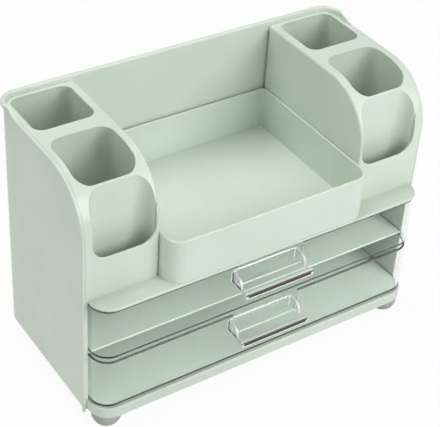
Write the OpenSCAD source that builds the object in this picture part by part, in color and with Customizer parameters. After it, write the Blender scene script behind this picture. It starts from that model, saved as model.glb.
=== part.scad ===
// Desktop organiser for make-up or stationery.
// Two curved pocket towers stand beside an open bin, on a case with two clear drawers.
// Millimetres, +Z up, the front faces -Y.
// The origin is on the floor, under the middle of the overall footprint.

/* [Case] */
// Width across the outer faces of the side covers
body_w = 370; // [350:1:420]
// Depth of the side covers, from their front edge to the rear face
body_d = 160; // [150:1:200]
// Wall of the side covers and the back panel
cover_t = 2; // [1.6:0.1:2.6]
// Wall of the liners beside the drawers
liner_t = 2; // [1.6:0.1:3]
// Radius of the brow, from the front edge of a cover to its flat top
brow_r = 55; // [40:1:65]
// Radius of the rear corners in plan
rear_r = 18; // [14:1:22]
// Flat return of a cover behind its rear corner
wrap = 12; // [10:1:20]
// Radius of the bead along the front and upper edge of a cover
bead_r = 1.6; // [1.2:0.1:2]
// Length of the bead below the cover
bead_drop = 5; // [3:0.5:8]
// Height of the lower edge of the covers and the back panel above the underside of the base
cover_lift = 1.5; // [1:0.1:3]
// Overhang of the deck and the bin in front of the covers
overhang = 22; // [18:1:28]
// Radius of the front corners in plan
front_r = 20; // [12:1:22]

/* [Rear rim] */
// Rise of the rear rim above the flat top
rim_rise = 5; // [3:0.5:8]
// Length of the sweep from the flat top up to the rim
rim_sweep = 26; // [18:1:32]
// Radius of the rolled edge
rim_r = 2.3; // [1.8:0.1:2.6]
// Distance that the rolled edge stands out from the shell
rim_out = 2.8; // [2.4:0.1:3.4]

/* [Base and feet] */
// Height of the base
base_h = 12; // [10:1:18]
// Wall of the base
base_t = 2.5; // [2:0.1:3]
// Distance that the base stands out in front of the deck
base_lip = 1; // [0.5:0.5:3]
// Radius on the upper front edge of the base
base_edge_r = 1.6; // [1:0.1:2.4]
// Height of a foot below the base
foot_h = 15; // [13:0.5:18]
// Radius of a foot where it meets the base
foot_r = 14.5; // [13:0.5:15]
// Height of the straight neck above a foot's dome
foot_neck = 5; // [3:0.5:6]
// Distance from a foot's centre to the edges of the base
foot_inset = 17; // [15:0.5:20]
// Radius of the stem that plugs a foot into the base
stem_r = 3.5; // [2.5:0.1:4]

/* [Shelves] */
// Thickness of the shelf between the drawers
shelf_t = 2.4; // [2:0.1:3]
// Thickness of the deck over the drawers
deck_t = 3; // [2.5:0.1:4]

/* [Drawers] */
// Height of a drawer's walls
drawer_h = 55.8; // [46:0.1:62]
// Clear height over a drawer in its bay
headroom = 1.2; // [1:0.1:3]
// Wall of a drawer
drawer_t = 2; // [1.6:0.1:2.6]
// Distance from the front edge of the deck back to the front of a drawer
drawer_setback = 2; // [1:0.5:4]
// Radius of a drawer's front corners in plan
drawer_r = 18; // [12:1:20]
// Radius of a drawer's rear corners in plan
drawer_rear_r = 6; // [4:0.5:8]
// Distance that a drawer slides out
travel = 125; // [90:1:130]

/* [Pulls] */
// Width of a pull
pull_w = 74; // [60:1:100]
// Distance that a pull stands out in front of the deck
pull_reach = 16; // [12:1:22]
// Depth of a pull's recess behind the drawer front
pull_inset = 10; // [6:1:16]
// Height of a pull's floor above the bottom of the drawer
pull_z = 30; // [24:1:34]
// Wall of a pull
pull_t = 2.2; // [1.8:0.1:3]
// Height of a pull's cheeks and back
cheek_h = 12.5; // [10:0.5:15]
// Radius on the upper front corner of a cheek
cheek_r = 8.5; // [4:0.5:9]
// Distance from the front of the grip bar back to the cheeks
cheek_back = 11; // [8:0.5:13]
// Depth of the grip bar
bar_d = 5.6; // [4.5:0.1:7]
// Height of the grip bar
bar_h = 7; // [6:0.1:9]
// Distance that the grip bar hangs below the floor of the pull
bar_drop = 3.2; // [2:0.1:4]
// Radius on the edges of the grip bar
bar_r = 1.8; // [1:0.1:2.2]
// Height of the groove along the front of the grip bar
groove_h = 2.2; // [1.6:0.1:2.6]
// Depth of that groove
groove_d = 1.6; // [1:0.1:2]

/* [Towers] */
// Width of a tower
tower_w = 73.5; // [66:0.5:84]
// Height of a tower above the deck
tower_h = 117; // [105:1:150]
// Thickness of a tower's top where it reaches back to the cover
cap_t = 6; // [4:0.5:10]
// Radius on the edge of a tower beside the bin
tower_edge_r = 2.5; // [1.5:0.1:3.5]
// Margin between a pocket and the outer side of its tower
margin_out = 5; // [4:0.5:8]
// Margin between a pocket and the bin side of its tower
margin_in = 8; // [6:0.5:10]
// Radius of the corners of the middle pocket
mid_pocket_r = 14; // [8:1:18]
// Depth of the middle pocket in plan
mid_pocket_d = 60; // [48:1:62]
// Solid bridge between the middle and the rear pocket
bridge = 16; // [12:1:18]
// Radius of the corners of the rear pocket
rear_pocket_r = 10; // [6:1:13]
// Rear wall of a tower
tower_rear_t = 2.2; // [1.8:0.1:3]
// Thickness of a pocket's floor
pocket_floor = 2; // [1.6:0.1:3]
// Thickness of the wall between the front and the middle pocket
partition_t = 1.8; // [1.4:0.1:3]
// Depth of the front pocket in plan
front_pocket_d = 16; // [12:0.5:20]
// Radius of the rear corners of the front pocket
front_pocket_r = 15; // [8:0.5:18]
// Margin between the front pocket and the outer side of its tower
lip_out = 7.5; // [5:0.5:10]
// Wall between the front pocket and the bin
lip_in = 3.5; // [2.5:0.1:5]
// Thickness of the front lip
lip_t = 2.5; // [2:0.1:4]
// Height of the front lip above the deck
lip_h = 40.5; // [30:0.5:55]
// Radius of the lower corners of the front opening
lip_r = 16; // [8:1:20]

/* [Bin] */
// Height of the bin's walls
bin_h = 47; // [36:1:60]
// Wall of the bin
bin_t = 2.5; // [2:0.1:3.5]
// Thickness of the bin's floor
bin_floor = 2; // [1.6:0.1:3]
// Radius of the bin's front corners in plan
bin_r = 16; // [10:1:20]
// Radius of the bin's rear corners in plan
bin_rear_r = 6; // [4:1:12]

/* [Hidden] */
$fn = 96;
// Fit between fixed pieces
fit = 0.2;
// Running gap under a drawer
run_gap = 0.3;
// Gap at each side of a drawer
side_gap = 1;
// Gap behind a drawer
rear_gap = 4;
// Gap between the front of the bin and the edge of the deck
bin_setback = 1;
// Lap strips of the back panel behind the covers
lap_t = 1.5;
lap_w = 8;
// Tabs that plug the liners into the base and the deck, and the shelf into the liners
tab_l = 18;
// Ribs that keep a drawer from leaving its bay, by their lap over its rear wall
stop_w = 24;
stop_t = 2;
stop_lap = 1.6;
stop_x = 110;
// Stem of a foot and the boss that takes it
stem_h = 7;
boss_r = 7;
// Screws that hold the towers on the deck
screw_r = 1.5;
screw_head_r = 3;
screw_head_h = 1.6;
screw_l = 12;
screw_web = 10;
screw_x = 17;
// Hollow between a pocket and the bin side of its tower
core_w = 4;
// Ribs under the base
rib_t = 2;
rib_x = 60;
// Solid ends of the grip bar beyond its groove
groove_end = 2.5;
// Extra length of every cutting shape
cut = 1;

half_w = body_w / 2;
x_cover = half_w - cover_t;
x_liner = x_cover - liner_t;
x_tower = x_cover - tower_w;
x_seam = half_w - rear_r - wrap;
x_drawer = x_liner - side_gap;

y_back = (body_d + overhang + pull_reach - rim_out) / 2;
y_cap = y_back - cover_t - fit;
y_in = y_cap - lap_t - fit;
y_face = y_back - body_d;
y_front = y_face - overhang;
y_base = y_front - base_lip;
y_drawer = y_front + drawer_setback;
y_drawer_rear = y_in - rear_gap;
y_stop = y_drawer_rear - drawer_t - travel - stop_t - run_gap;
y_mid = y_face + lip_t + front_pocket_d + partition_t;
y_bridge = y_mid + mid_pocket_d;
y_rear = y_bridge + bridge;
inner_r = rear_r - (y_back - y_in);

bay_h = drawer_h + run_gap + headroom;
z_cover = foot_h + cover_lift;
z_base = foot_h + base_h;
z_shelf = z_base + bay_h;
z_upper = z_shelf + shelf_t;
z_deck = z_upper + bay_h;
z_floor = z_deck + deck_t;
z_top = z_floor + tower_h;
z_rim = z_top + rim_rise;

y_sweep_end = y_back - rear_r;
y_sweep = y_sweep_end - rim_sweep;
sweep_r = (pow(rim_sweep, 2) + pow(rim_rise, 2)) / (4 * rim_rise);
sweep_a = 2 * atan(rim_rise / rim_sweep);

mint = "#cbdccd";
mint_deep = "#bfd3c2";
clear = [0.9, 0.95, 0.93, 0.4];
grey = "#b4b6b4";
steel = "#9a9da0";

// Plan outline, symmetric about X, with round front and rear corners
module plan(hw, y0, y1, r_front, r_rear) {
    intersection() {
        translate([-hw, y0]) square([2 * hw, y1 - y0]);
        union() {
            translate([-hw, y0 + r_front]) square([2 * hw, y1 - y0 - r_front - r_rear]);
            translate([r_front - hw, y0]) square([2 * (hw - r_front), r_front]);
            translate([r_rear - hw, y1 - r_rear]) square([2 * (hw - r_rear), r_rear]);
            for (s = [-1, 1]) {
                translate([s * (hw - r_front), y0 + r_front]) circle(r_front);
                translate([s * (hw - r_rear), y1 - r_rear]) circle(r_rear);
            }
        }
    }
}

// Round bar along the front and both sides of a plan outline with round front corners
module front_edge(hw, y0, y1, rc, z, r) {
    translate([rc - hw, y0, z]) rotate([0, 90, 0]) cylinder(r = r, h = 2 * (hw - rc));
    for (m = [0, 1])
        mirror([m, 0, 0]) {
            translate([hw, y0 + rc, z]) rotate([-90, 0, 0]) cylinder(r = r, h = y1 - y0 - rc);
            translate([hw - rc, y0 + rc, z]) rotate([0, 0, -90])
                rotate_extrude(angle = 90) translate([rc, 0]) circle(r, $fn = 48);
        }
}

// Round bar along the whole of a plan outline
module ring(hw, y0, y1, r_front, r_rear, z, r) {
    front_edge(hw, y0, y1 - r_rear, r_front, z, r);
    translate([r_rear - hw, y1, z]) rotate([0, 90, 0]) cylinder(r = r, h = 2 * (hw - r_rear));
    for (m = [0, 1])
        mirror([m, 0, 0]) translate([hw - r_rear, y1 - r_rear, z])
            rotate_extrude(angle = 90) translate([r_rear, 0]) circle(r, $fn = 48);
}

// Prism that stands on z0
module upright(z0, h) {
    translate([0, 0, z0]) linear_extrude(h) children();
}

// Prism along X of an outline drawn in Y and Z
module along_x(x0, x1) {
    translate([x0, 0, 0]) rotate([90, 0, 90]) linear_extrude(x1 - x0) children();
}

// Prism along Y, from y0 to y1, of an outline drawn in X and Z
module along_y(y0, y1) {
    translate([0, y1, 0]) rotate([90, 0, 0]) linear_extrude(y1 - y0) children();
}

// Side outline in Y and Z with the brow at its upper front corner, set in by t
module brow_outline(z0, t) {
    y0 = y_face + brow_r;
    translate([y_face + t, z0]) square([body_d - t, z_top - brow_r - z0]);
    translate([y0, z0]) square([body_d - brow_r, z_top - t - z0]);
    translate([y0, z_top - brow_r]) circle(brow_r - t, $fn = 180);
}

// Round bar along the brow edge, set in by t, up to y1
module brow_edge(x, z0, y1, t, r) {
    y0 = y_face + brow_r;
    z1 = z_top - brow_r;
    translate([x, y_face + t, z0]) cylinder(r = r, h = z1 - z0);
    translate([x, y0, z_top - t]) rotate([-90, 0, 0]) cylinder(r = r, h = y1 - y0);
    translate([x, y0, z1]) rotate([0, 90, 0]) rotate([0, 0, 180])
        rotate_extrude(angle = 90, $fn = 180) translate([brow_r - t, 0]) circle(r, $fn = 48);
}

// Side outline of a cover: the brow, the flat top and two equal arcs up to the rear rim
module cover_outline(t) {
    y_mid_sweep = y_sweep + rim_sweep / 2 + t * sin(sweep_a);
    brow_outline(z_cover, t);
    difference() {
        translate([y_sweep, z_top - t - cut]) square([y_mid_sweep - y_sweep, rim_rise / 2 + cut]);
        translate([y_sweep, z_top + sweep_r]) circle(sweep_r + t, $fn = 360);
    }
    intersection() {
        translate([y_mid_sweep, z_top - t - cut]) square([y_sweep_end - y_mid_sweep, rim_rise + cut]);
        translate([y_sweep_end, z_rim - sweep_r]) circle(sweep_r - t, $fn = 360);
    }
    translate([y_sweep_end, z_top - t - cut]) square([rear_r, rim_rise + cut]);
}

// Section of the bead of a cover, at radius big from an axis, convex or concave, flat beside the tower
module bead_section(big, convex) {
    deep = convex ? big - bead_r - cover_t : big;
    translate([big + (convex ? -bead_r : bead_r), cover_t - bead_r]) circle(bead_r, $fn = 48);
    translate([deep, cover_t - bead_r]) square([bead_r + cover_t, bead_r]);
    translate([convex ? deep : big + bead_r, 0]) square(cover_t);
}

// Arc of that bead about an axis along X
module bead_arc(y, z, start, sweep, big, convex) {
    translate([-half_w, y, z]) rotate([0, 90, 0]) rotate([0, 0, start])
        rotate_extrude(angle = sweep, $fn = 360) bead_section(big, convex);
}

// Bead along the front and upper edge of the left cover
module cover_bead() {
    x = cover_t - bead_r - half_w;
    z_end = z_cover - bead_drop + bead_r;
    upright(z_end, z_top - brow_r - z_end) translate([x, y_face + bead_r]) circle(bead_r, $fn = 48);
    upright(z_cover, z_top - brow_r - z_cover) {
        translate([x, y_face]) square([bead_r, bead_r + cover_t]);
        translate([-half_w, y_face + bead_r]) square(cover_t);
    }
    translate([x, y_face + bead_r, z_end]) mirror([0, 0, 1]) rotate_extrude($fn = 48) intersection() {
        circle(bead_r, $fn = 48);
        square([bead_r, bead_r - fit]);
    }
    bead_arc(y_face + brow_r, z_top - brow_r, 180, 90, brow_r, true);
    along_y(y_face + brow_r, y_sweep) {
        translate([x, z_top - bead_r]) circle(bead_r, $fn = 48);
        translate([x, z_top - bead_r - cover_t]) square([bead_r, bead_r + cover_t]);
        translate([-half_w, z_top - bead_r - cover_t]) square(cover_t);
    }
    bead_arc(y_sweep, z_top + sweep_r, 0, sweep_a, sweep_r, false);
    bead_arc(y_sweep_end, z_rim - sweep_r, 180, sweep_a, sweep_r, true);
}

// Plan of the shell of the left cover, set in by t
module cover_plan(t) {
    translate([t - half_w, y_face - t]) square([rear_r + wrap, body_d - rear_r + t]);
    translate([rear_r - half_w, y_back - rear_r]) square([wrap + t, rear_r - t]);
    translate([rear_r - half_w, y_back - rear_r]) circle(rear_r - t);
}

// Shell of the left cover, set in by t at its upper and front edge
module cover_shell(t) {
    intersection() {
        upright(z_cover, z_rim - z_cover) difference() {
            cover_plan(0);
            cover_plan(cover_t);
        }
        along_x(-half_w - cut, -x_seam) cover_outline(t);
    }
}

// Rolled rim of the left cover, round its rear corner
module cover_rim() {
    roll_r = rear_r + rim_out - rim_r;
    translate([rear_r - half_w, y_back - rear_r, z_rim - rim_r + fit]) {
        rotate([0, 0, 90]) rotate_extrude(angle = 90) translate([roll_r, 0]) circle(rim_r, $fn = 48);
        translate([-roll_r, 0, 0]) rotate([90, 0, 0]) rotate_extrude($fn = 48) intersection() {
            circle(rim_r, $fn = 48);
            square([rim_r, rim_r - fit]);
        }
        translate([0, roll_r, 0]) rotate([0, 90, 0]) cylinder(r = rim_r, h = wrap, $fn = 48);
    }
}

// Left side cover with a beaded edge, a wrapped rear corner and a rolled rim
module cover() {
    cover_shell(cover_t);
    cover_bead();
    cover_rim();
}

module left_cover() {
    color(mint) cover();
}

module right_cover() {
    color(mint) mirror([1, 0, 0]) cover();
}

// Back panel between the covers, lapped behind their returns
module back_panel() {
    hw = x_seam - fit;
    lap_h = z_top - cap_t - fit - z_cover;
    color(mint) {
        translate([-hw, y_back - cover_t, z_cover]) cube([2 * hw, cover_t, z_rim - rim_r - z_cover]);
        translate([-hw, y_back + rim_out - rim_r, z_rim - rim_r + fit])
            rotate([0, 90, 0]) cylinder(r = rim_r, h = 2 * hw, $fn = 32);
        for (s = [-1, 1])
            translate([s * hw - lap_w, y_cap - lap_t, z_cover]) cube([2 * lap_w, lap_t, lap_h]);
        for (s = [-1, 1])
            translate([s * (hw - lap_w / 2) - lap_w / 2, y_cap - cut / 2, z_cover])
                cube([lap_w, fit + cut, lap_h]);
    }
}

// Places of the tabs along a liner
function tab_places() = [for (k = [1, 3]) y_face + k * (y_in - inner_r - y_face) / 4];

// Tabs on the lower or upper edge of the left liner, or the slots that take them
module liner_tabs(z0, h, gap) {
    for (y = tab_places())
        translate([-x_cover - gap, y - tab_l / 2 - gap, z0]) cube([liner_t + 2 * gap, tab_l + 2 * gap, h]);
}

// Tabs on the left edge of the shelf or, longer and with a gap, the slots that they rest in
module shelf_tabs(extra, gap) {
    for (y = tab_places())
        translate([fit - x_cover - extra, y - tab_l / 2 - gap, z_shelf])
            cube([liner_t + cut + extra, tab_l + 2 * gap, shelf_t + gap]);
}

// Left wall of the drawer bays
module liner() {
    difference() {
        translate([-x_cover, y_face, z_base]) cube([liner_t, y_in - inner_r - y_face, 2 * bay_h + shelf_t]);
        shelf_tabs(cut, fit);
    }
    liner_tabs(z_base - base_t, base_t, 0);
    liner_tabs(z_deck, deck_t, 0);
}

module left_liner() {
    color(mint_deep) liner();
}

module right_liner() {
    color(mint_deep) mirror([1, 0, 0]) liner();
}

// Slots for the tabs of both liners
module tab_slots(z0, h) {
    for (m = [0, 1])
        mirror([m, 0, 0]) liner_tabs(z0 - cut, h + 2 * cut, fit / 2);
}

// Plan of the hollow under the base
module base_hollow() {
    plan(x_cover - base_t, y_face + base_t, y_in - base_t, cut, inner_r - base_t);
    plan(x_liner + base_lip - base_t, y_base + base_t, y_face + base_t + 2 * cut,
         front_r + base_lip - base_t, cut);
}

// Centre of each foot
function foot_x() = x_liner + base_lip - foot_inset;
function foot_y(front) = front ? y_base + foot_inset : y_in - foot_inset;

// Part of the base in front of the covers, with round edges
module base_front() {
    hw = x_liner + base_lip;
    rc = front_r + base_lip;
    y1 = y_face + 2 * cut;
    skirt_r = base_t / 2;
    upright(foot_h + skirt_r, base_h - skirt_r - base_edge_r) plan(hw, y_base, y1, rc, cut);
    upright(foot_h, base_h)
        plan(hw - base_edge_r, y_base + base_edge_r, y1, rc - base_edge_r, cut);
    front_edge(hw - skirt_r, y_base + skirt_r, y1, rc - skirt_r, foot_h + skirt_r, skirt_r);
    front_edge(hw - base_edge_r, y_base + base_edge_r, y1, rc - base_edge_r,
               z_base - base_edge_r, base_edge_r);
}

// Base: a top plate with a skirt, open below, with ribs and a boss for each foot
module base() {
    color(mint) difference() {
        union() {
            difference() {
                union() {
                    upright(foot_h, base_h) plan(x_cover, y_face, y_in, cut, inner_r);
                    base_front();
                }
                upright(foot_h - cut, base_h - base_t + cut) base_hollow();
            }
            for (s = [-1, 1])
                translate([s * rib_x - rib_t / 2, y_base + base_t / 2, foot_h + cut])
                    cube([rib_t, y_in - y_base - base_t, base_h - 2 * cut]);
            for (s = [-1, 1], front = [false, true])
                translate([s * foot_x(), foot_y(front), foot_h]) cylinder(r = boss_r, h = base_h - cut);
        }
        for (s = [-1, 1], front = [false, true])
            translate([s * foot_x(), foot_y(front), foot_h - cut])
                cylinder(r = stem_r + fit / 2, h = stem_h + 2 * cut);
        tab_slots(z_base - base_t, base_t);
    }
}

// Domed foot with a stem, standing under one corner
module foot(s, front) {
    color(grey) translate([s * foot_x(), foot_y(front), 0]) {
        rotate_extrude() {
            intersection() {
                translate([0, foot_h - foot_neck]) circle(foot_r);
                square([foot_r, foot_h - foot_neck]);
            }
            translate([0, foot_h - foot_neck]) square([foot_r, foot_neck]);
        }
        translate([0, 0, foot_h - cut]) cylinder(r = stem_r, h = stem_h + cut);
    }
}

module front_left_foot() {
    foot(-1, true);
}

module front_right_foot() {
    foot(1, true);
}

module rear_left_foot() {
    foot(-1, false);
}

module rear_right_foot() {
    foot(1, false);
}

// Ribs under a shelf that the rear wall of the drawer below meets when it is out
module stop_ribs(z) {
    stop_h = headroom + stop_lap;
    for (s = [-1, 1])
        translate([s * stop_x - stop_w / 2, y_stop, z - stop_h]) cube([stop_w, stop_t, stop_h + cut]);
}

// Part of the deck in front of the covers, with a round edge
module nose(hw, z0, t) {
    r = t / 2;
    upright(z0, t) plan(hw - r, y_front + r, y_face + 2 * cut, front_r - r, cut);
    front_edge(hw - r, y_front + r, y_face + cut, front_r - r, z0 + r, r);
}

// Shelf behind the drawer fronts, on tabs in the liners
module mid_shelf() {
    color(mint_deep) {
        upright(z_shelf, shelf_t) plan(x_liner - fit, y_face, y_in - fit, cut, inner_r);
        for (m = [0, 1])
            mirror([m, 0, 0]) shelf_tabs(0, 0);
        stop_ribs(z_shelf);
    }
}

// Plan places of the tower screws on the left
function screw_places() = [for (s = [-1, 1]) [s * screw_x - (x_cover + x_tower) / 2, y_bridge + bridge / 2]];

// Deck over the drawers, which carries the towers and the bin
module deck() {
    color(mint) difference() {
        union() {
            upright(z_deck, deck_t) plan(x_cover, y_face, y_in, cut, inner_r);
            nose(x_liner, z_deck, deck_t);
            stop_ribs(z_deck);
        }
        tab_slots(z_deck, deck_t);
        for (m = [0, 1], p = screw_places())
            mirror([m, 0, 0]) translate([p[0], p[1], z_deck]) {
                translate([0, 0, -cut]) cylinder(r = screw_r + fit, h = deck_t + 2 * cut);
                translate([0, 0, -fit])
                    cylinder(r1 = screw_head_r + 2 * fit, r2 = screw_r + fit, h = screw_head_h + fit);
            }
    }
}

// Countersunk screws, from under the deck into the towers
module tower_screws() {
    color(steel) for (m = [0, 1], p = screw_places())
        mirror([m, 0, 0]) translate([p[0], p[1], z_deck]) {
            cylinder(r1 = screw_head_r, r2 = screw_r, h = screw_head_h);
            cylinder(r = screw_r, h = screw_l);
        }
}

// Open bin between the towers, with a round rim
module center_bin() {
    hw = x_tower - fit;
    y0 = y_front + bin_setback;
    r = bin_t / 2;
    color(mint) {
        difference() {
            upright(z_floor, bin_h - r) plan(hw, y0, y_in, bin_r, bin_rear_r);
            upright(z_floor + bin_floor, bin_h)
                plan(hw - bin_t, y0 + bin_t, y_in - bin_t, bin_r - bin_t, bin_rear_r - bin_t);
        }
        ring(hw - r, y0 + r, y_in - r, bin_r - r, bin_rear_r - r, z_floor + bin_h - r, r);
    }
}

// Plan of the left tower back to y1, with its rear outer corner rounded to suit the cover
module tower_plan(y1) {
    x0 = fit - x_cover;
    r = rear_r - (y_back - y1);
    translate([x0, y_face]) square([-x_tower - x0, y1 - r - y_face]);
    translate([x0 + r, y1 - r]) square([-x_tower - x0 - r, r]);
    translate([x0 + r, y1 - r]) circle(r);
}

// Middle of a pocket of the left tower and half its width, between margins from the tower's sides
function pocket_x(out, in) = (out - in - x_cover + fit - x_tower) / 2;
function pocket_hw(out, in) = (tower_w - fit - out - in) / 2;

// Well of a pocket of the left tower
module well(out, in, y0, y1, r_front, r_rear) {
    translate([pocket_x(out, in), 0, 0])
        upright(z_floor + pocket_floor, z_top - z_floor) plan(pocket_hw(out, in), y0, y1, r_front, r_rear);
}

// Opening over the front lip of the left tower, larger by t all round
module lip_opening(t) {
    translate([pocket_x(lip_out, lip_in), 0, 0])
        along_y(y_face - cut, y_face + lip_t + cut)
            plan(pocket_hw(lip_out, lip_in) + t, z_floor + lip_h - t, z_top + cut, lip_r + t, cut);
}

// Round edge of that opening
module lip_edge(r) {
    translate([pocket_x(lip_out, lip_in), y_face + r, 0]) rotate([90, 0, 0])
        front_edge(pocket_hw(lip_out, lip_in) + r, z_floor + lip_h - r, z_top, lip_r + r, 0, r);
}

// Hollows from below that keep the walls of the left tower even
module tower_cores() {
    span = 2 * screw_x - screw_web;
    side = (tower_w - fit - 2 * screw_x - screw_web) / 2 - margin_out;
    x_mid = -(x_cover + x_tower) / 2;
    x_wall = -x_tower - (margin_in - core_w) / 2;
    for (core = [[x_mid, span], [x_mid - screw_x - (screw_web + side) / 2, side]])
        translate([core[0] - core[1] / 2, y_bridge + partition_t, z_floor - cut])
            cube([core[1], bridge - 2 * partition_t, z_top - z_floor - pocket_floor]);
    intersection() {
        translate([x_wall - core_w, y_mid + partition_t, z_floor - cut])
            cube([core_w, y_in - tower_rear_t - y_mid - partition_t, tower_h]);
        along_x(x_wall - core_w - cut, x_wall + cut) brow_outline(z_floor - 2 * cut, pocket_floor);
    }
}

// Block of the left tower under the brow, with a round edge beside the bin and a top up to the cover
module tower_block() {
    r = tower_edge_r;
    intersection() {
        union() {
            upright(z_floor, tower_h) tower_plan(y_in);
            upright(z_top - cap_t, cap_t) tower_plan(y_cap);
        }
        union() {
            along_x(-x_cover, -x_tower - r) brow_outline(z_floor, 0);
            along_x(-x_tower - r - cut, -x_tower) brow_outline(z_floor, r);
            brow_edge(-x_tower - r, z_floor, y_cap, r, r);
        }
    }
}

// Left tower: three stepped pockets under one curved brow
module tower() {
    y_well = y_face + lip_t;
    difference() {
        tower_block();
        well(lip_out, lip_in, y_well, y_well + front_pocket_d,
             cut, min(front_pocket_r, front_pocket_d - 2 * cut));
        lip_opening(lip_t / 2);
        well(margin_out, margin_in, y_mid, y_bridge, mid_pocket_r, mid_pocket_r);
        well(margin_out, margin_in, y_rear, y_in - tower_rear_t, rear_pocket_r, rear_pocket_r);
        tower_cores();
        for (p = screw_places())
            translate([p[0], p[1], z_floor - cut]) cylinder(r = screw_r + fit / 4, h = screw_l + cut);
    }
    intersection() {
        lip_edge(lip_t / 2);
        tower_block();
    }
}

module left_tower() {
    color(mint) tower();
}

module right_tower() {
    color(mint) mirror([1, 0, 0]) tower();
}

// Clear drawer whose bottom is at z0, notched at the front for its pull
module drawer(z0) {
    r = drawer_t / 2;
    t = drawer_t;
    color(clear) {
        difference() {
            union() {
                upright(z0 + t, drawer_h - t - r)
                    plan(x_drawer, y_drawer, y_drawer_rear, drawer_r, drawer_rear_r);
                upright(z0, 2 * t)
                    plan(x_drawer - t, y_drawer + t, y_drawer_rear - t, drawer_r - t, drawer_rear_r - t);
                ring(x_drawer - t, y_drawer + t, y_drawer_rear - t, drawer_r - t, drawer_rear_r - t,
                     z0 + t, t);
                ring(x_drawer - r, y_drawer + r, y_drawer_rear - r, drawer_r - r, drawer_rear_r - r,
                     z0 + drawer_h - r, r);
            }
            upright(z0 + t, drawer_h - t - r)
                plan(x_drawer - t, y_drawer + t, y_drawer_rear - t, drawer_r - t, drawer_rear_r - t);
            translate([-pull_w / 2 - fit, y_drawer - cut, z0 + pull_z - fit])
                cube([pull_w + 2 * fit, t + 2 * cut, drawer_h]);
        }
    }
}

module upper_drawer() {
    drawer(z_upper + run_gap);
}

module lower_drawer() {
    drawer(z_base + run_gap);
}

// Side outline of a pull's cheek in Y and Z, from its round front corner back to y1
module cheek_outline(y1, z1) {
    y0 = y_front - pull_reach + cheek_back;
    translate([y0, z1]) square([y1 - y0, cheek_h - cheek_r]);
    translate([y0 + cheek_r, z1]) square([y1 - y0 - cheek_r, cheek_h]);
    intersection() {
        translate([y0, z1]) square([cheek_r, cheek_h]);
        translate([y0 + cheek_r, z1 + cheek_h - cheek_r]) circle(cheek_r);
    }
}

// Grip bar of a pull, with a groove along its front
module grip_bar(y0, z1) {
    hw = pull_w / 2 + cut;
    difference() {
        along_x(-hw, hw) translate([y0 + bar_d / 2, 0])
            plan(bar_d / 2, z1 - bar_drop, z1 - bar_drop + bar_h, bar_r, bar_r);
        translate([groove_end - hw, y0 - cut, z1 - bar_drop + (bar_h - groove_h) / 2])
            cube([2 * (hw - groove_end), groove_d + cut, groove_h]);
    }
}

// Clear pull: a low tray set into the drawer front, with a grip bar along its front edge
module pull(z0) {
    hw = pull_w / 2;
    y0 = y_front - pull_reach;
    y1 = y_drawer + pull_inset;
    z1 = z0 + pull_z;
    color(clear) {
        for (m = [0, 1])
            mirror([m, 0, 0]) along_x(-hw, pull_t - hw) cheek_outline(y1, z1);
        translate([-hw, y0 + bar_d / 2, z1]) cube([pull_w, y1 - y0 - bar_d / 2, pull_t]);
        translate([cut - hw, y1 - pull_t, z1]) cube([pull_w - 2 * cut, pull_t, cheek_h]);
        grip_bar(y0, z1);
    }
}

module upper_pull() {
    pull(z_upper + run_gap);
}

module lower_pull() {
    pull(z_base + run_gap);
}

base();
left_cover();
right_cover();
back_panel();
left_liner();
right_liner();
mid_shelf();
deck();
center_bin();
left_tower();
right_tower();
upper_drawer();
lower_drawer();
upper_pull();
lower_pull();
front_left_foot();
front_right_foot();
rear_left_foot();
rear_right_foot();
tower_screws();
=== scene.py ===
"""Looks of a desktop organiser: a pale mint moulded case with pocket towers, a bin and clear drawers.

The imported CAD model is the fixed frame. Its shells are copied, merged and given the small rounded
edges that a mould leaves, the feet and screws are modelled here, and every surface gets its finish.
"""

import logging
import math
from collections.abc import Callable, Iterator
from contextlib import contextmanager
from dataclasses import dataclass, field
from enum import Enum
from typing import Any

import bpy
from mathutils import Matrix, Vector


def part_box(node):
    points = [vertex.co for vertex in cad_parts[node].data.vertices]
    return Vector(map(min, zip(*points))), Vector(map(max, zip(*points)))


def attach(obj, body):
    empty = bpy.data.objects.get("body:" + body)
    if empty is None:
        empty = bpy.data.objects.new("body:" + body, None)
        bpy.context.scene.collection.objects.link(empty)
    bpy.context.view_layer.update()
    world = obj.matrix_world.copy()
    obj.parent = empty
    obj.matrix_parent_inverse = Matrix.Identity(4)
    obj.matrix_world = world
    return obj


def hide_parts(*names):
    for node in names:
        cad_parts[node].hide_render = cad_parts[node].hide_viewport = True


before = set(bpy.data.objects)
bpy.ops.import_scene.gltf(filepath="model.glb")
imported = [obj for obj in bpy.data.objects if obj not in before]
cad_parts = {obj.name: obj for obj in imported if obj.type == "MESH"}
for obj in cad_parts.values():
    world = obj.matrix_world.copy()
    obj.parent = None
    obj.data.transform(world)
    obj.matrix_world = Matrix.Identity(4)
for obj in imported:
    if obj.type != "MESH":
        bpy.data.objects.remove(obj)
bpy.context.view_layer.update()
LOG = logging.getLogger("organiser")
MM = 0.001

# Edges sharper than this are rounded
SHARP_DEG = 40.0
# Edges sharper than this are shaded as edges
SMOOTH_DEG = 35.0
# Neighbouring faces that turn by less than this become one
FLAT_DEG = 0.2
# Points of a copied node that are closer than this become one
MERGE_MM = 0.002
# Points that modelling and roundings leave closer than this become one
CLOSE_MM = 0.001
# Values between which most of a noise lies, as a range node takes them
NOISE_SPAN = {"From Min": 0.3, "From Max": 0.7}


class Body(Enum):
    """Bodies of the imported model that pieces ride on."""

    CASE = "case"
    UPPER = "upper_drawer_unit"
    LOWER = "lower_drawer_unit"


class Slot(Enum):
    """Material slots of the record."""

    MINT = "mint_plastic"
    INNER = "mint_plastic_inner"
    CLEAR = "clear_plastic"
    RUBBER = "grey_rubber"
    STEEL = "screw_steel"


class Pick(Enum):
    """What is chosen in edit mode, as Blender's vertex, edge and face switches."""

    EDGE = (False, True, False)
    FACE = (False, False, True)


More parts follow.
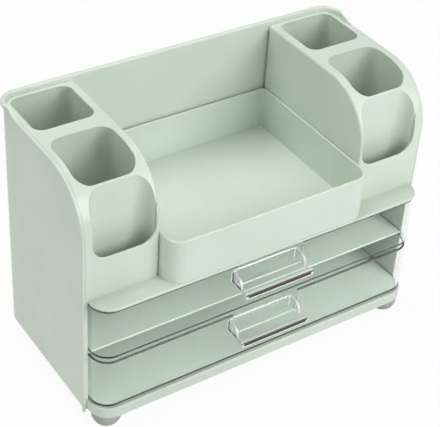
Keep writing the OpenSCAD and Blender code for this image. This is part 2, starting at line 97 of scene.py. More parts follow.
# Colours and nodes


def linear(code: str) -> tuple[float, float, float, float]:
    """Turn an sRGB hex colour into linear light.

    Args:
        code: Colour such as "#c8d8c8".

    Returns:
        Linear red, green, blue and an alpha of 1.
    """
    parts = [int(code[i : i + 2], 16) / 255 for i in (1, 3, 5)]
    light = [c / 12.92 if c <= 0.04045 else ((c + 0.055) / 1.055) ** 2.4 for c in parts]
    return (light[0], light[1], light[2], 1.0)


def add_node(
    tree: bpy.types.NodeTree,
    kind: str,
    settings: dict[str, Any] | None = None,
    links: dict[str | int, bpy.types.NodeSocket] | None = None,
) -> bpy.types.Node:
    """Add one node with its settings and links.

    Args:
        tree: Node tree that gets the node.
        kind: Blender's type name of the node.
        settings: Attributes of the node, or default values of its inputs.
        links: Input name or number to the output socket that feeds it.

    Returns:
        The new node.
    """
    node = tree.nodes.new(kind)
    for key, value in (settings or {}).items():
        if key in node.inputs:
            node.inputs[key].default_value = value
        else:
            setattr(node, key, value)
    for key, socket in (links or {}).items():
        tree.links.new(socket, node.inputs[key])
    return node


def new_material(name: str) -> tuple[bpy.types.Material, bpy.types.NodeTree, bpy.types.Node]:
    """Make an empty node material.

    Args:
        name: Name of the material.

    Returns:
        The material, its node tree and its output node.
    """
    material = bpy.data.materials.new(name)
    material.use_nodes = True
    tree = material.node_tree
    tree.nodes.clear()
    return material, tree, add_node(tree, "ShaderNodeOutputMaterial")


def paint_ramp(ramp: bpy.types.Node, *stops: tuple[float, str]) -> None:
    """Set the stops of a colour ramp.

    Args:
        ramp: Colour ramp with as many stops as are given.
        stops: Place from 0 to 1 and hex colour of each stop.
    """
    for element, (place, code) in zip(ramp.color_ramp.elements, stops):
        element.position = place
        element.color = linear(code)


@dataclass(frozen=True)
class MouldedAbs:
    """Opaque ABS from a fine spark-eroded mould.

    To the eye it is a soft, even gloss over a pale tint that clouds a little across a hand's breadth.
    The grain of such a mould is about 0.05 mm, and it is drawn coarser so that it shows.
    """

    name: str
    light: str
    deep: str
    roughness: tuple[float, float] = (0.30, 0.40)
    cloud_mm: float = 60.0
    grain_mm: float = 0.9
    grain_depth_mm: float = 0.02

    def build(self) -> bpy.types.Material:
        """Make the material.

        Returns:
            The new material.
        """
        material, tree, out = new_material(self.name)
        place = add_node(tree, "ShaderNodeTexCoord").outputs["Object"]
        cloud = add_node(
            tree,
            "ShaderNodeTexNoise",
            {"Scale": 1 / (self.cloud_mm * MM), "Detail": 2.0},
            {"Vector": place},
        )
        grain = add_node(
            tree,
            "ShaderNodeTexNoise",
            {"Scale": 1 / (self.grain_mm * MM), "Detail": 3.0},
            {"Vector": place},
        )
        tint = add_node(tree, "ShaderNodeValToRGB", None, {"Fac": cloud.outputs["Fac"]})
        paint_ramp(tint, (0.35, self.deep), (0.65, self.light))
        low, high = self.roughness
        gloss = add_node(
            tree,
            "ShaderNodeMapRange",
            NOISE_SPAN | {"To Min": low, "To Max": high},
            {"Value": grain.outputs["Fac"]},
        )
        bump = add_node(
            tree,
            "ShaderNodeBump",
            {"Strength": 0.12, "Distance": self.grain_depth_mm * MM},
            {"Height": grain.outputs["Fac"]},
        )
        shader = add_node(
            tree,
            "ShaderNodeBsdfPrincipled",
            {"IOR": 1.53, "Coat Weight": 0.08, "Coat Roughness": 0.18},
            {
                "Base Color": tint.outputs["Color"],
                "Roughness": gloss.outputs["Result"],
                "Normal": bump.outputs["Normal"],
            },
        )
        tree.links.new(shader.outputs["BSDF"], out.inputs["Surface"])
        return material


@dataclass(frozen=True)
class ClearStyrene:
    """Clear polystyrene from a polished mould.

    To the eye it is water-clear, with slow waves where the melt flowed. Lamps shine through its thin
    walls as through a film, so that what is behind it is lit. With less clarity and a pale tint it is
    painted highlight on the plastic, and with a dark tint it is painted shade.
    """

    name: str
    tint: str
    clarity: float = 1.0
    ior: float = 1.59
    roughness: tuple[float, float] = (0.015, 0.05)
    wave_mm: float = 18.0
    wave_depth_mm: float = 0.05

    def build(self) -> bpy.types.Material:
        """Make the material.

        Returns:
            The new material.
        """
        material, tree, out = new_material(self.name)
        place = add_node(tree, "ShaderNodeTexCoord").outputs["Object"]
        wave = add_node(
            tree,
            "ShaderNodeTexNoise",
            {"Scale": 1 / (self.wave_mm * MM), "Detail": 1.0},
            {"Vector": place},
        )
        low, high = self.roughness
        gloss = add_node(
            tree,
            "ShaderNodeMapRange",
            NOISE_SPAN | {"To Min": low, "To Max": high},
            {"Value": wave.outputs["Fac"]},
        )
        bump = add_node(
            tree,
            "ShaderNodeBump",
            {"Strength": 0.25, "Distance": self.wave_depth_mm * MM},
            {"Height": wave.outputs["Fac"]},
        )
        shader = add_node(
            tree,
            "ShaderNodeBsdfPrincipled",
            {"Base Color": linear(self.tint), "IOR": self.ior, "Transmission Weight": self.clarity},
            {"Roughness": gloss.outputs["Result"], "Normal": bump.outputs["Normal"]},
        )
        film = add_node(tree, "ShaderNodeBsdfTransparent", {"Color": linear(self.tint)})
        path = add_node(tree, "ShaderNodeLightPath")
        lit = add_node(
            tree,
            "ShaderNodeMixShader",
            None,
            {0: path.outputs["Is Shadow Ray"], 1: shader.outputs["BSDF"], 2: film.outputs["BSDF"]},
        )
        tree.links.new(lit.outputs["Shader"], out.inputs["Surface"])
        return material


@dataclass(frozen=True)
class SoftRubber:
    """Moulded thermoplastic rubber.

    To the eye it is light grey and matt, with a dusty grain. The grain is drawn coarser than it is, so
    that it shows.
    """

    name: str
    light: str
    deep: str
    roughness: tuple[float, float] = (0.55, 0.75)
    grain_mm: float = 1.2
    grain_depth_mm: float = 0.05

    def build(self) -> bpy.types.Material:
        """Make the material.

        Returns:
            The new material.
        """
        material, tree, out = new_material(self.name)
        place = add_node(tree, "ShaderNodeTexCoord").outputs["Object"]
        grain = add_node(
            tree,
            "ShaderNodeTexNoise",
            {"Scale": 1 / (self.grain_mm * MM), "Detail": 4.0},
            {"Vector": place},
        )
        tint = add_node(tree, "ShaderNodeValToRGB", None, {"Fac": grain.outputs["Fac"]})
        paint_ramp(tint, (0.3, self.deep), (0.7, self.light))
        low, high = self.roughness
        gloss = add_node(
            tree,
            "ShaderNodeMapRange",
            NOISE_SPAN | {"To Min": low, "To Max": high},
            {"Value": grain.outputs["Fac"]},
        )
        bump = add_node(
            tree,
            "ShaderNodeBump",
            {"Strength": 0.3, "Distance": self.grain_depth_mm * MM},
            {"Height": grain.outputs["Fac"]},
        )
        shader = add_node(
            tree,
            "ShaderNodeBsdfPrincipled",
            {"IOR": 1.5, "Sheen Weight": 0.1},
            {
                "Base Color": tint.outputs["Color"],
                "Roughness": gloss.outputs["Result"],
                "Normal": bump.outputs["Normal"],
            },
        )
        tree.links.new(shader.outputs["BSDF"], out.inputs["Surface"])
        return material


@dataclass(frozen=True)
class ZincSteel:
    """Zinc plated steel: a grey metal under a patchy bright film."""

    name: str
    light: str
    deep: str
    roughness: tuple[float, float] = (0.25, 0.42)
    patch_mm: float = 1.5

    def build(self) -> bpy.types.Material:
        """Make the material.

        Returns:
            The new material.
        """
        material, tree, out = new_material(self.name)
        place = add_node(tree, "ShaderNodeTexCoord").outputs["Object"]
        patch = add_node(
            tree,
            "ShaderNodeTexNoise",
            {"Scale": 1 / (self.patch_mm * MM), "Detail": 3.0},
            {"Vector": place},
        )
        tint = add_node(tree, "ShaderNodeValToRGB", None, {"Fac": patch.outputs["Fac"]})
        paint_ramp(tint, (0.3, self.deep), (0.7, self.light))
        low, high = self.roughness
        gloss = add_node(
            tree,
            "ShaderNodeMapRange",
            NOISE_SPAN | {"To Min": low, "To Max": high},
            {"Value": patch.outputs["Fac"]},
        )
        shader = add_node(
            tree,
            "ShaderNodeBsdfPrincipled",
            {"Metallic": 1.0},
            {"Base Color": tint.outputs["Color"], "Roughness": gloss.outputs["Result"]},
        )
        tree.links.new(shader.outputs["BSDF"], out.inputs["Surface"])
        return material


@dataclass
class Finishes:
    """The finishes of the organiser, each built once."""

    mint: bpy.types.Material = field(init=False)
    inner: bpy.types.Material = field(init=False)
    clear: bpy.types.Material = field(init=False)
    clear_painted_rim_shade: bpy.types.Material = field(init=False)
    clear_painted_glow: bpy.types.Material = field(init=False)
    clear_painted_grip_shade: bpy.types.Material = field(init=False)
    rubber: bpy.types.Material = field(init=False)
    steel: bpy.types.Material = field(init=False)

    def __post_init__(self) -> None:
        """Build every material."""
        self.mint = MouldedAbs("mint_abs", light="#d9e5d8", deep="#d4e1d3").build()
        self.inner = MouldedAbs("mint_abs_inner", light="#d9e5d8", deep="#d3e0d2").build()
        # With the full index of polystyrene the empty drawers come out far too dark
        self.clear = ClearStyrene("clear_polystyrene", tint="#fcfefd", ior=1.35).build()
        # Dark smoky clear plastic: painted shade for the shadow gaps along the drawers' rims and bottom
        # edges
        self.clear_painted_rim_shade = ClearStyrene("clear_polystyrene_painted_rim_shade", tint="#525853", clarity=0.5).build()
        # Nearly opaque pale plastic: painted highlight for the light that clear edges gather
        self.clear_painted_glow = ClearStyrene(
            "clear_polystyrene_painted_glow", tint="#f4f6f5", clarity=0.12, roughness=(0.15, 0.25)
        ).build()
        # Dark smoky matt plastic: painted shade for the dark line along the pull's bar
        self.clear_painted_grip_shade = ClearStyrene(
            "clear_polystyrene_painted_grip_shade", tint="#4a4d4b", clarity=0.2, roughness=(0.5, 0.6)
        ).build()
        self.rubber = SoftRubber("grey_rubber", light="#b9bab8", deep="#a9aaa8").build()
        self.steel = ZincSteel("zinc_steel", light="#c9ccd0", deep="#a8abb0").build()


# Mesh work


def select_only(obj: bpy.types.Object) -> None:
    """Make one object the only selected and active one.

    Args:
        obj: Object to select.
    """
    bpy.ops.object.select_all(action="DESELECT")
    obj.select_set(True)
    bpy.context.view_layer.objects.active = obj


@contextmanager
def edit_mode(obj: bpy.types.Object, pick: Pick = Pick.FACE, keep: bool = False) -> Iterator[None]:
    """Work on one object in edit mode, and leave the mode afterwards.

    Args:
        obj: Mesh object to work on.
        pick: Whether edges or faces are chosen.
        keep: Whether what was selected before stays so; otherwise nothing is selected.
    """
    select_only(obj)
    bpy.context.tool_settings.mesh_select_mode = pick.value
    bpy.ops.object.mode_set(mode="EDIT")
    if not keep:
        bpy.ops.mesh.select_all(action="DESELECT")
    yield
    bpy.ops.object.mode_set(mode="OBJECT")


def close(obj: bpy.types.Object) -> None:
    """Merge the points that roundings leave in one place, so that no empty face stays.

    Args:
        obj: Rounded piece.
    """
    with edit_mode(obj):
        bpy.ops.mesh.select_all(action="SELECT")
        bpy.ops.mesh.dissolve_degenerate(threshold=CLOSE_MM * MM)


def smooth(obj: bpy.types.Object) -> None:
    """Shade a piece smooth across its gentle edges, with flat faces kept flat.

    Args:
        obj: Piece to shade.
    """
    select_only(obj)
    bpy.ops.object.shade_smooth_by_angle(angle=math.radians(SMOOTH_DEG))
    modifier = obj.modifiers.new("flat_faces", "WEIGHTED_NORMAL")
    modifier.keep_sharp = True
    bpy.ops.object.modifier_apply(modifier=modifier.name)


def paint(obj: bpy.types.Object, *materials: bpy.types.Material) -> None:
    """Give a piece its finishes.

    Args:
        obj: Piece to paint.
        materials: Its finishes, with the main one first.
    """
    obj.data.materials.clear()
    for material in materials:
        obj.data.materials.append(material)


def dress(obj: bpy.types.Object, body: Body, slot: Slot, *nodes: str) -> None:
    """Give a finished piece its body and hide the nodes that it stands for.

    Args:
        obj: Finished piece.
        body: Body that it rides on.
        slot: Record's slot of its main finish; not used.
        nodes: Names of the CAD nodes that it replaces.
    """
    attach(obj, body.value)
    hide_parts(*nodes)
    LOG.info("%s: %d faces on %s", obj.name, len(obj.data.polygons), body.value)


def twin(obj: bpy.types.Object, name: str, shift: Vector) -> bpy.types.Object:
    """Copy a piece with its own mesh and move the copy.

    Args:
        obj: Piece to copy.
        name: Name of the copy.
        shift: Way from the piece to its copy.

    Returns:
        The copy, with its place in its mesh.
    """
    copy = bpy.data.objects.new(name, obj.data.copy())
    bpy.context.scene.collection.objects.link(copy)
    select_only(copy)
    bpy.ops.transform.translate(value=shift)
    bpy.ops.object.transform_apply(location=True, rotation=True, scale=True)
    return copy


@dataclass
class Shell:
    """A moulded piece: the merged copy of a CAD node with small rounded edges.

    Blender's guard against overlaps makes all of a piece's roundings smaller where one has no room.
    """

    node: str
    body: Body
    slot: Slot
    edge_mm: float = 0.3
    segments: int = 3

    def make(self, material: bpy.types.Material) -> bpy.types.Object:
        """Copy the node, merge it, round its sharp edges and dress it.

        Args:
            material: Its main finish.

        Returns:
            The finished piece.
        """
        obj = bpy.data.objects.new(self.node + "_shell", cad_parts[self.node].data.copy())
        bpy.context.scene.collection.objects.link(obj)
        paint(obj, material)
        select_only(obj)
        bpy.ops.mesh.customdata_custom_splitnormals_clear()
        with edit_mode(obj):
            bpy.ops.mesh.select_all(action="SELECT")
            bpy.ops.mesh.remove_doubles(threshold=MERGE_MM * MM)
            bpy.ops.mesh.dissolve_limited(angle_limit=math.radians(FLAT_DEG))
        self.round_edges(obj)
        close(obj)
        smooth(obj)
        dress(obj, self.body, self.slot, self.node)
        return obj

    def round_edges(self, obj: bpy.types.Object) -> None:
        """Round every sharp edge alike."""
        self.bevel(obj, lambda place: True)

    def bevel(self, obj: bpy.types.Object, chosen: Callable[[Vector], bool]) -> None:
        """Round the chosen sharp edges.

        Args:
            obj: Merged piece.
            chosen: Tells from the middle of an edge whether it is rounded.
        """
        with edit_mode(obj, Pick.EDGE):
            bpy.ops.mesh.edges_select_sharp(sharpness=math.radians(SHARP_DEG))
        places = [vertex.co for vertex in obj.data.vertices]
        for edge in obj.data.edges:
            start, end = (places[index] for index in edge.vertices)
            edge.select = edge.select and chosen((start + end) / 2)
        with edit_mode(obj, Pick.EDGE, keep=True):
            bpy.ops.mesh.bevel(offset=self.edge_mm * MM, segments=self.segments, clamp_overlap=True)


@dataclass
class TowerShell(Shell):
    """A pocket tower, of which only the upper rims are rounded, as far as the guard lets them be."""

    edge_mm: float = 0.6
    rim_drop_mm: float = 30.0
    margin_mm: float = 0.1

    def round_edges(self, obj: bpy.types.Object) -> None:
        """Round the rims near the top, but not the edges against the cover and the back.

        Args:
            obj: Merged tower.
        """
        low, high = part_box(self.node)
        side = max(abs(low.x), abs(high.x)) - self.margin_mm * MM
        back = high.y - self.margin_mm * MM
        start = high.z - self.rim_drop_mm * MM

        def rim(place: Vector) -> bool:
            """Tell whether the middle of an edge is on such a rim."""
            return abs(place.x) < side and place.y < back and place.z > start

        self.bevel(obj, rim)


# Sub-assemblies


@dataclass
class Case:
    """Fixed mint pieces: base, covers, back panel, deck, bin, liners and the shelf between drawers."""

    outer_edge_mm: float = 0.25
    inner_edge_mm: float = 0.3
    outer: tuple[str, ...] = ("base", "left_cover", "right_cover", "back_panel", "deck", "center_bin")
    inner: tuple[str, ...] = ("left_liner", "right_liner", "mid_shelf")

    def build(self, finishes: Finishes) -> None:
        """Make and dress every fixed shell.

        Args:
            finishes: The organiser's materials.
        """
        for node in self.outer:
            Shell(node, Body.CASE, Slot.MINT, self.outer_edge_mm).make(finishes.mint)
        for node in self.inner:
            Shell(node, Body.CASE, Slot.INNER, self.inner_edge_mm).make(finishes.inner)


@dataclass
class Towers:
    """The two pocket towers."""

    nodes: tuple[str, str] = ("left_tower", "right_tower")

    def build(self, finishes: Finishes) -> None:
        """Make and dress both towers."""
        for node in self.nodes:
            TowerShell(node, Body.CASE, Slot.MINT).make(finishes.mint)


@dataclass
class DrawerUnit:
    """One clear drawer with its scoop pull.

    The last three fields are cosines. They tell whether a face is nearly level, looks squarely to the
    front or back, or looks mostly one way.
    """

    level: str
    body: Body
    tray_edge_mm: float = 0.3
    rim_mm: float = 1.4
    front_mm: float = 3.0
    bottom_mm: float = 1.4
    notch_margin_mm: float = 1.0
    pull_edge_mm: float = 0.4
    pull_wall_mm: float = 2.2
    pull_width_mm: float = 74.0
    bar_depth_mm: float = 5.6
    bar_height_mm: float = 7.0
    bar_drop_mm: float = 3.2
    groove_height_mm: float = 2.2
    groove_depth_mm: float = 1.6
    groove_margin_mm: float = 0.05
    margin_mm: float = 0.1
    level_cos: float = 0.95
    square_cos: float = 0.99
    facing_cos: float = 0.7

    def tray(self, finishes: Finishes) -> None:
        """Make the tray, with painted shade on its rim and bottom edge and a painted highlight on its
        notch.

        Args:
            finishes: The organiser's materials.
        """
        node = self.level + "_drawer"
        obj = Shell(node, self.body, Slot.CLEAR, self.tray_edge_mm).make(finishes.clear)
        paint(obj, finishes.clear, finishes.clear_painted_rim_shade, finishes.clear_painted_glow)
        rim_shade_index, glow_index = 1, 2
        low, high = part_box(node)
        rim = high.z - self.rim_mm * MM
        bottom = low.z + self.bottom_mm * MM
        front = low.y + self.front_mm * MM
        notch = (self.pull_width_mm / 2 + self.notch_margin_mm) * MM
        self.cut(obj, Vector((0, 0, rim)), Vector((0, 0, 1)))
        smooth(obj)
        for face in obj.data.polygons:
            place, normal = face.center, face.normal
            curved = abs(normal.z) < self.level_cos and place.z < bottom
            at_notch = place.y < front and abs(place.x) < notch and abs(normal.y) < self.square_cos
            # Rim faces and the curved bottom edge get painted shade
            if place.z > rim or curved:
                face.material_index = rim_shade_index
            # Faces at the pull's notch get a painted highlight
            elif at_notch and place.z > bottom:
                face.material_index = glow_index

    def pull(self, finishes: Finishes) -> None:
        """Make the pull, with painted highlights on its cheeks and bar and painted shade on its grip.

        Args:
            finishes: The organiser's materials.
        """
        node = self.level + "_pull"
        obj = Shell(node, self.body, Slot.CLEAR, self.pull_edge_mm).make(finishes.clear)
        paint(obj, finishes.clear, finishes.clear_painted_glow, finishes.clear_painted_grip_shade)
        glow_index, grip_shade_index = 1, 2
        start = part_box(node)[0]
        cheek = (self.pull_width_mm / 2 - self.pull_wall_mm) * MM
        floor = self.bar_drop_mm + self.pull_wall_mm + self.margin_mm
        for side in (-1, 1):
            self.cut(obj, Vector((side * cheek, 0, 0)), Vector((1, 0, 0)))
        smooth(obj)
        for face in obj.data.polygons:
            place, normal = (face.center - start) / MM, face.normal
            # The bar gets painted shade on its grip and a painted highlight elsewhere; the cheeks get a
            # painted highlight
            if place.y < self.bar_depth_mm:
                face.material_index = grip_shade_index if self.gets_grip_shade(place, normal) else glow_index
            elif abs(face.center.x) > cheek and (place.z < floor or abs(normal.x) < self.facing_cos):
                face.material_index = glow_index

    def gets_grip_shade(self, place: Vector, normal: Vector) -> bool:
        """Tell whether a face of the bar is in its groove, or on its upper half and looks ahead.

        Args:
            place: Middle of the face from the low corner of the pull's box, in mm.
            normal: Way that the face looks.

        Returns:
            Whether the face gets the matt finish with painted shade.
        """
        rise = place.z - self.bar_height_mm / 2
        shallow = self.margin_mm < place.y < self.groove_depth_mm + self.margin_mm
        in_groove = shallow and abs(rise) < self.groove_height_mm / 2 + self.groove_margin_mm
        return in_groove or (rise > 0 and normal.y < -self.facing_cos)

    @staticmethod
    def cut(obj: bpy.types.Object, place: Vector, normal: Vector) -> None:
        """Score a piece along a plane, so that its faces end there.

        Args:
            obj: Piece to score.
            place: A point of the plane.
            normal: Way that the plane looks.
        """
        with edit_mode(obj):
            bpy.ops.mesh.select_all(action="SELECT")
            bpy.ops.mesh.bisect(plane_co=place, plane_no=normal)

    def build(self, finishes: Finishes) -> None:
        """Make the tray and the pull."""
        self.tray(finishes)
        self.pull(finishes)


@dataclass
class Feet:
    """Domed rubber feet with a dished sole, plugged into the base."""

    radius_mm: float = 14.5
    height_mm: float = 15.0
    neck_mm: float = 5.0
    stem_mm: float = 3.5
    stem_height_mm: float = 7.0
    dish_rim_mm: float = 2.6
    dish_depth_mm: float = 0.8
    edge_mm: float = 0.5
    segments: int = 3
    rings: int = 8
    sides: int = 64
    nodes: tuple[str, ...] = ("front_left_foot", "front_right_foot", "rear_left_foot", "rear_right_foot")

    def dome_radius(self, z_mm: float) -> float:
        """Radius of the dome at a height above the sole."""
        return math.sqrt(self.radius_mm**2 - (self.height_mm - self.neck_mm - z_mm) ** 2)

    @staticmethod
    def centre(node: str) -> Vector:
        """Middle of a foot's sole."""
        low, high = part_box(node)
        return Vector(((low.x + high.x) / 2, (low.y + high.y) / 2, low.z))

    def model(self, name: str, centre: Vector) -> bpy.types.Object:
        """Model one foot.

        Args:
            name: Name of the piece.
            centre: Middle of its sole.

        Returns:
            The new piece.
        """
        sole = self.dome_radius(0.0)
        bpy.ops.object.select_all(action="DESELECT")
        bpy.ops.mesh.primitive_circle_add(
            vertices=self.sides, radius=sole * MM, fill_type="NGON", location=centre
        )
        obj = bpy.context.object
        obj.name = name
        bpy.ops.object.transform_apply(location=True, rotation=True, scale=True)
        with edit_mode(obj):
            bpy.ops.mesh.select_all(action="SELECT")
            bpy.ops.mesh.inset(thickness=self.dish_rim_mm * MM)
            bpy.ops.mesh.extrude_region_move(
                TRANSFORM_OT_translate={"value": (0, 0, self.dish_depth_mm * MM)}
            )
            bpy.ops.mesh.select_all(action="DESELECT")
            bpy.ops.mesh.select_mode(type="EDGE")
            bpy.ops.mesh.select_non_manifold(extend=False)
            radius, z = sole, 0.0
            for ring in range(1, self.rings + 1):
                height = (self.height_mm - self.neck_mm) * ring / self.rings
                self.lift(centre, height - z, self.dome_radius(height) / radius)
                radius, z = self.dome_radius(height), height
            self.lift(centre, self.neck_mm, 1.0)
            self.lift(centre, 0.0, self.stem_mm / radius)
            self.lift(centre, self.stem_height_mm, 1.0)
            bpy.ops.mesh.edge_face_add()
            bpy.ops.mesh.select_all(action="SELECT")
            bpy.ops.mesh.remove_doubles(threshold=CLOSE_MM * MM)
            bpy.ops.mesh.normals_make_consistent(inside=False)
            bpy.ops.mesh.select_all(action="DESELECT")
            bpy.ops.mesh.edges_select_sharp(sharpness=math.radians(SHARP_DEG))
            bpy.ops.mesh.bevel(offset=self.edge_mm * MM, segments=self.segments, clamp_overlap=True)
        close(obj)
        smooth(obj)
        return obj

    @staticmethod
    def lift(centre: Vector, rise_mm: float, ratio: float) -> None:
        """Extrude the selected ring upwards and scale it about the foot's axis.

        Args:
            centre: Foot's axis at the floor.
            rise_mm: Height of the new ring above the last one.
            ratio: Its radius over the last one's.
        """
        bpy.ops.mesh.extrude_edges_move(TRANSFORM_OT_translate={"value": (0, 0, rise_mm * MM)})
        bpy.ops.transform.resize(value=(ratio, ratio, 1), center_override=centre)

    def build(self, finishes: Finishes) -> None:
        """Model the first foot, copy it to the other places and dress them all.

        Args:
            finishes: The organiser's materials.
        """
        start = self.centre(self.nodes[0])
        first = self.model(self.nodes[0] + "_rubber", start)
        paint(first, finishes.rubber)
        dress(first, Body.CASE, Slot.RUBBER, self.nodes[0])
        for node in self.nodes[1:]:
            foot = twin(first, node + "_rubber", self.centre(node) - start)
            dress(foot, Body.CASE, Slot.RUBBER, node)


@dataclass
class TowerScrews:
    """Countersunk screws with cross recesses, driven up through the deck."""

    node: str = "tower_screws"
    head_mm: float = 3.0
    head_depth_mm: float = 1.6
    shank_mm: float = 1.5
    length_mm: float = 12.0
    tip_mm: float = 0.8
    tip_ratio: float = 0.6
    pitch_mm: float = 34.0
    cross_mm: float = 3.4
    blade_mm: float = 0.8
    recess_mm: float = 0.9
    margin_mm: float = 0.01
    sides: int = 32

    def places(self) -> list[Vector]:
        """Work out where the four screws are.

        Returns:
            Centres of the heads on the deck's underside.
        """
        low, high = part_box(self.node)
        outer = high.x - self.head_mm * MM
        pair = (outer - self.pitch_mm * MM, outer)
        return [Vector((side * x, (low.y + high.y) / 2, low.z)) for side in (-1, 1) for x in pair]

    def cutter(self, place: Vector) -> bpy.types.Object:
        """Make the cross that cuts a recess, with half of its height outside the head.

        Args:
            place: Centre of the head.

        Returns:
            The cutter.
        """
        bars = []
        for width, depth in ((self.cross_mm, self.blade_mm), (self.blade_mm, self.cross_mm)):
            bpy.ops.object.select_all(action="DESELECT")
            bpy.ops.mesh.primitive_cube_add(size=1, location=place)
            bars.append(bpy.context.object)
            bars[-1].scale = (width * MM, depth * MM, 2 * self.recess_mm * MM)
            bpy.ops.object.transform_apply(location=True, rotation=True, scale=True)
        union = bars[0].modifiers.new("cross", "BOOLEAN")
        union.operation = "UNION"
        union.object = bars[1]
        select_only(bars[0])
        bpy.ops.object.modifier_apply(modifier=union.name)
        bpy.data.objects.remove(bars[1])
        return bars[0]

    def model(self, place: Vector) -> bpy.types.Object:
        """Model one screw, head down.

        Args:
            place: Centre of the head.

        Returns:
            The screw.
        """
        bpy.ops.object.select_all(action="DESELECT")
        bpy.ops.mesh.primitive_cone_add(
            vertices=self.sides,
            radius1=self.head_mm * MM,
            radius2=self.shank_mm * MM,
            depth=self.head_depth_mm * MM,
            location=place + Vector((0, 0, self.head_depth_mm * MM / 2)),
        )
        obj = bpy.context.object
        bpy.ops.object.transform_apply(location=True, rotation=True, scale=True)
        top = max(face.center.z for face in obj.data.polygons)
        for parts in (obj.data.vertices, obj.data.edges, obj.data.polygons):
            parts.foreach_set("select", [False] * len(parts))
        for face in obj.data.polygons:
            face.select = face.center.z > top - self.margin_mm * MM
        with edit_mode(obj, keep=True):
            shank = self.length_mm - self.head_depth_mm - self.tip_mm
            for rise in (shank, self.tip_mm):
                bpy.ops.mesh.extrude_region_move(TRANSFORM_OT_translate={"value": (0, 0, rise * MM)})
            bpy.ops.transform.resize(value=(self.tip_ratio, self.tip_ratio, 1), center_override=place)
        cross = self.cutter(place)
        recess = obj.modifiers.new("recess", "BOOLEAN")
        recess.operation = "DIFFERENCE"
        recess.object = cross
        select_only(obj)
        bpy.ops.object.modifier_apply(modifier=recess.name)
        bpy.data.objects.remove(cross)
        return obj

    def build(self, finishes: Finishes) -> None:
        """Model the screws as one piece and dress it.

        Args:
            finishes: The organiser's materials.
        """
        start, *others = self.places()
        screws = [self.model(start)]
        screws += [twin(screws[0], "screw", place - start) for place in others]
        select_only(screws[0])
        for screw in screws:
            screw.select_set(True)
        bpy.ops.object.join()
        obj = screws[0]
        obj.name = self.node + "_steel"
        select_only(obj)
        bpy.ops.object.origin_set(type="ORIGIN_CURSOR")
        smooth(obj)
        paint(obj, finishes.steel)
        dress(obj, Body.CASE, Slot.STEEL, self.node)


# Studio


@dataclass(frozen=True)
class Lamp:
    """A soft square lamp that looks at the organiser."""

    name: str
    place_m: tuple[float, float, float]
    size_m: float
    watts: float
    aim_m: tuple[float, float, float] = (0.0, 0.0, 0.12)

    def build(self) -> None:
        """Add the lamp to the scene."""
        data = bpy.data.lights.new(self.name, "AREA")
        data.shape = "SQUARE"
        data.size = self.size_m
        data.energy = self.watts
        obj = bpy.data.objects.new(self.name, data)
        bpy.context.scene.collection.objects.link(obj)
        place = Vector(self.place_m)
        aim = Vector(self.aim_m) - place
        obj.matrix_world = Matrix.Translation(place) @ aim.to_track_quat("-Z", "Y").to_matrix().to_4x4()


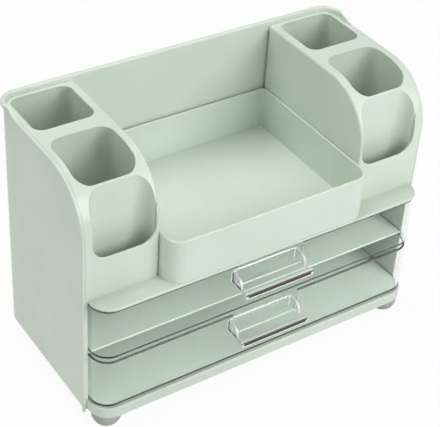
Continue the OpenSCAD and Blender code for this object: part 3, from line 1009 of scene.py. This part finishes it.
@dataclass
class Studio:
    """Pale floor, white surround, soft lamps and the camera."""

    focal_px: float = 1299.0
    width_px: int = 440
    azimuth_deg: float = -35.70
    elevation_deg: float = 37.175
    roll_deg: float = 4.124
    distance_m: float = 1.32985
    target_m: tuple[float, float, float] = (0.03337, 0.04966, 0.08810)
    sensor_mm: float = 36.0
    clip_m: tuple[float, float] = (0.05, 50.0)
    white: str = "#ffffff"
    surround_level: float = 0.12
    floor_tint: str = "#f4f5f4"
    floor_glow: float = 0.94
    floor_size_m: float = 12.0
    floor_drop_m: float = 0.0002
    lamps: tuple[Lamp, ...] = (
        Lamp("front", (0.6, -1.5, 1.0), 1.2, 21.5),
        Lamp("side", (-1.6, -0.3, 0.4), 1.2, 5.6),
        Lamp("top", (-0.3, 0.5, 1.8), 1.0, 17.5),
    )

    def camera(self) -> None:
        """Place the camera at the viewing angle."""
        az, el, roll = (math.radians(a) for a in (self.azimuth_deg, self.elevation_deg, self.roll_deg))
        back = Vector((math.cos(el) * math.sin(az), -math.cos(el) * math.cos(az), math.sin(el)))
        right = Vector((0, 0, 1)).cross(back).normalized()
        up = back.cross(right)
        turned = right * math.cos(roll) + up * math.sin(roll)
        upright = up * math.cos(roll) - right * math.sin(roll)
        data = bpy.data.cameras.new("camera")
        data.sensor_width = self.sensor_mm
        data.lens = self.focal_px * self.sensor_mm / self.width_px
        data.clip_start, data.clip_end = self.clip_m
        camera = bpy.data.objects.new("camera", data)
        bpy.context.scene.collection.objects.link(camera)
        turn = Matrix((turned, upright, back)).transposed().to_4x4()
        camera.matrix_world = Matrix.Translation(Vector(self.target_m) + back * self.distance_m) @ turn
        bpy.context.scene.camera = camera

    @staticmethod
    def seen(tree: bpy.types.NodeTree) -> bpy.types.NodeSocket:
        """Add a value that is 1 where the eye, a reflection or a clear wall sees the surface.

        Args:
            tree: Node tree of the surface.

        Returns:
            The socket with that value.
        """
        path = add_node(tree, "ShaderNodeLightPath")
        value = path.outputs["Is Camera Ray"]
        for ray in ("Is Glossy Ray", "Is Transmission Ray"):
            either = add_node(
                tree, "ShaderNodeMath", {"operation": "MAXIMUM"}, {0: value, 1: path.outputs[ray]}
            )
            value = either.outputs["Value"]
        return value

    def world(self) -> None:
        """Make a surround that looks white and lights the organiser at a plain lower level."""
        world = bpy.data.worlds.new("white_surround")
        bpy.context.scene.world = world
        world.use_nodes = True
        tree = world.node_tree
        tree.nodes.clear()
        strength = add_node(
            tree,
            "ShaderNodeMapRange",
            {"To Min": self.surround_level, "To Max": 1.0},
            {"Value": self.seen(tree)},
        )
        shine = add_node(
            tree,
            "ShaderNodeBackground",
            {"Color": linear(self.white)},
            {"Strength": strength.outputs["Result"]},
        )
        out = add_node(tree, "ShaderNodeOutputWorld")
        tree.links.new(shine.outputs["Background"], out.inputs["Surface"])

    def floor(self) -> None:
        """Lay a pale floor that glows white to the eye and keeps a faint shadow."""
        bpy.ops.object.select_all(action="DESELECT")
        bpy.ops.mesh.primitive_plane_add(size=self.floor_size_m, location=(0, 0, -self.floor_drop_m))
        floor = bpy.context.object
        floor.name = "floor"
        material, tree, out = new_material("pale_floor")
        matt = add_node(tree, "ShaderNodeBsdfDiffuse", {"Color": linear(self.floor_tint)})
        white = add_node(tree, "ShaderNodeEmission", {"Color": linear(self.white), "Strength": 1.0})
        share = add_node(
            tree,
            "ShaderNodeMapRange",
            {"To Min": 0.0, "To Max": self.floor_glow},
            {"Value": self.seen(tree)},
        )
        mix = add_node(
            tree,
            "ShaderNodeMixShader",
            None,
            {0: share.outputs["Result"], 1: matt.outputs["BSDF"], 2: white.outputs["Emission"]},
        )
        tree.links.new(mix.outputs["Shader"], out.inputs["Surface"])
        floor.data.materials.append(material)

    def build(self) -> None:
        """Set the view, the light, the floor and the camera."""
        bpy.context.scene.view_settings.view_transform = "Standard"
        self.world()
        self.floor()
        for lamp in self.lamps:
            lamp.build()
        self.camera()


def main() -> None:
    """Build the organiser's looks in order."""
    logging.basicConfig(level=logging.INFO, format="%(name)s %(message)s")
    finishes = Finishes()
    Case().build(finishes)
    Towers().build(finishes)
    DrawerUnit("upper", Body.UPPER).build(finishes)
    DrawerUnit("lower", Body.LOWER).build(finishes)
    Feet().build(finishes)
    TowerScrews().build(finishes)
    Studio().build()


if __name__ == "__main__":
    main()
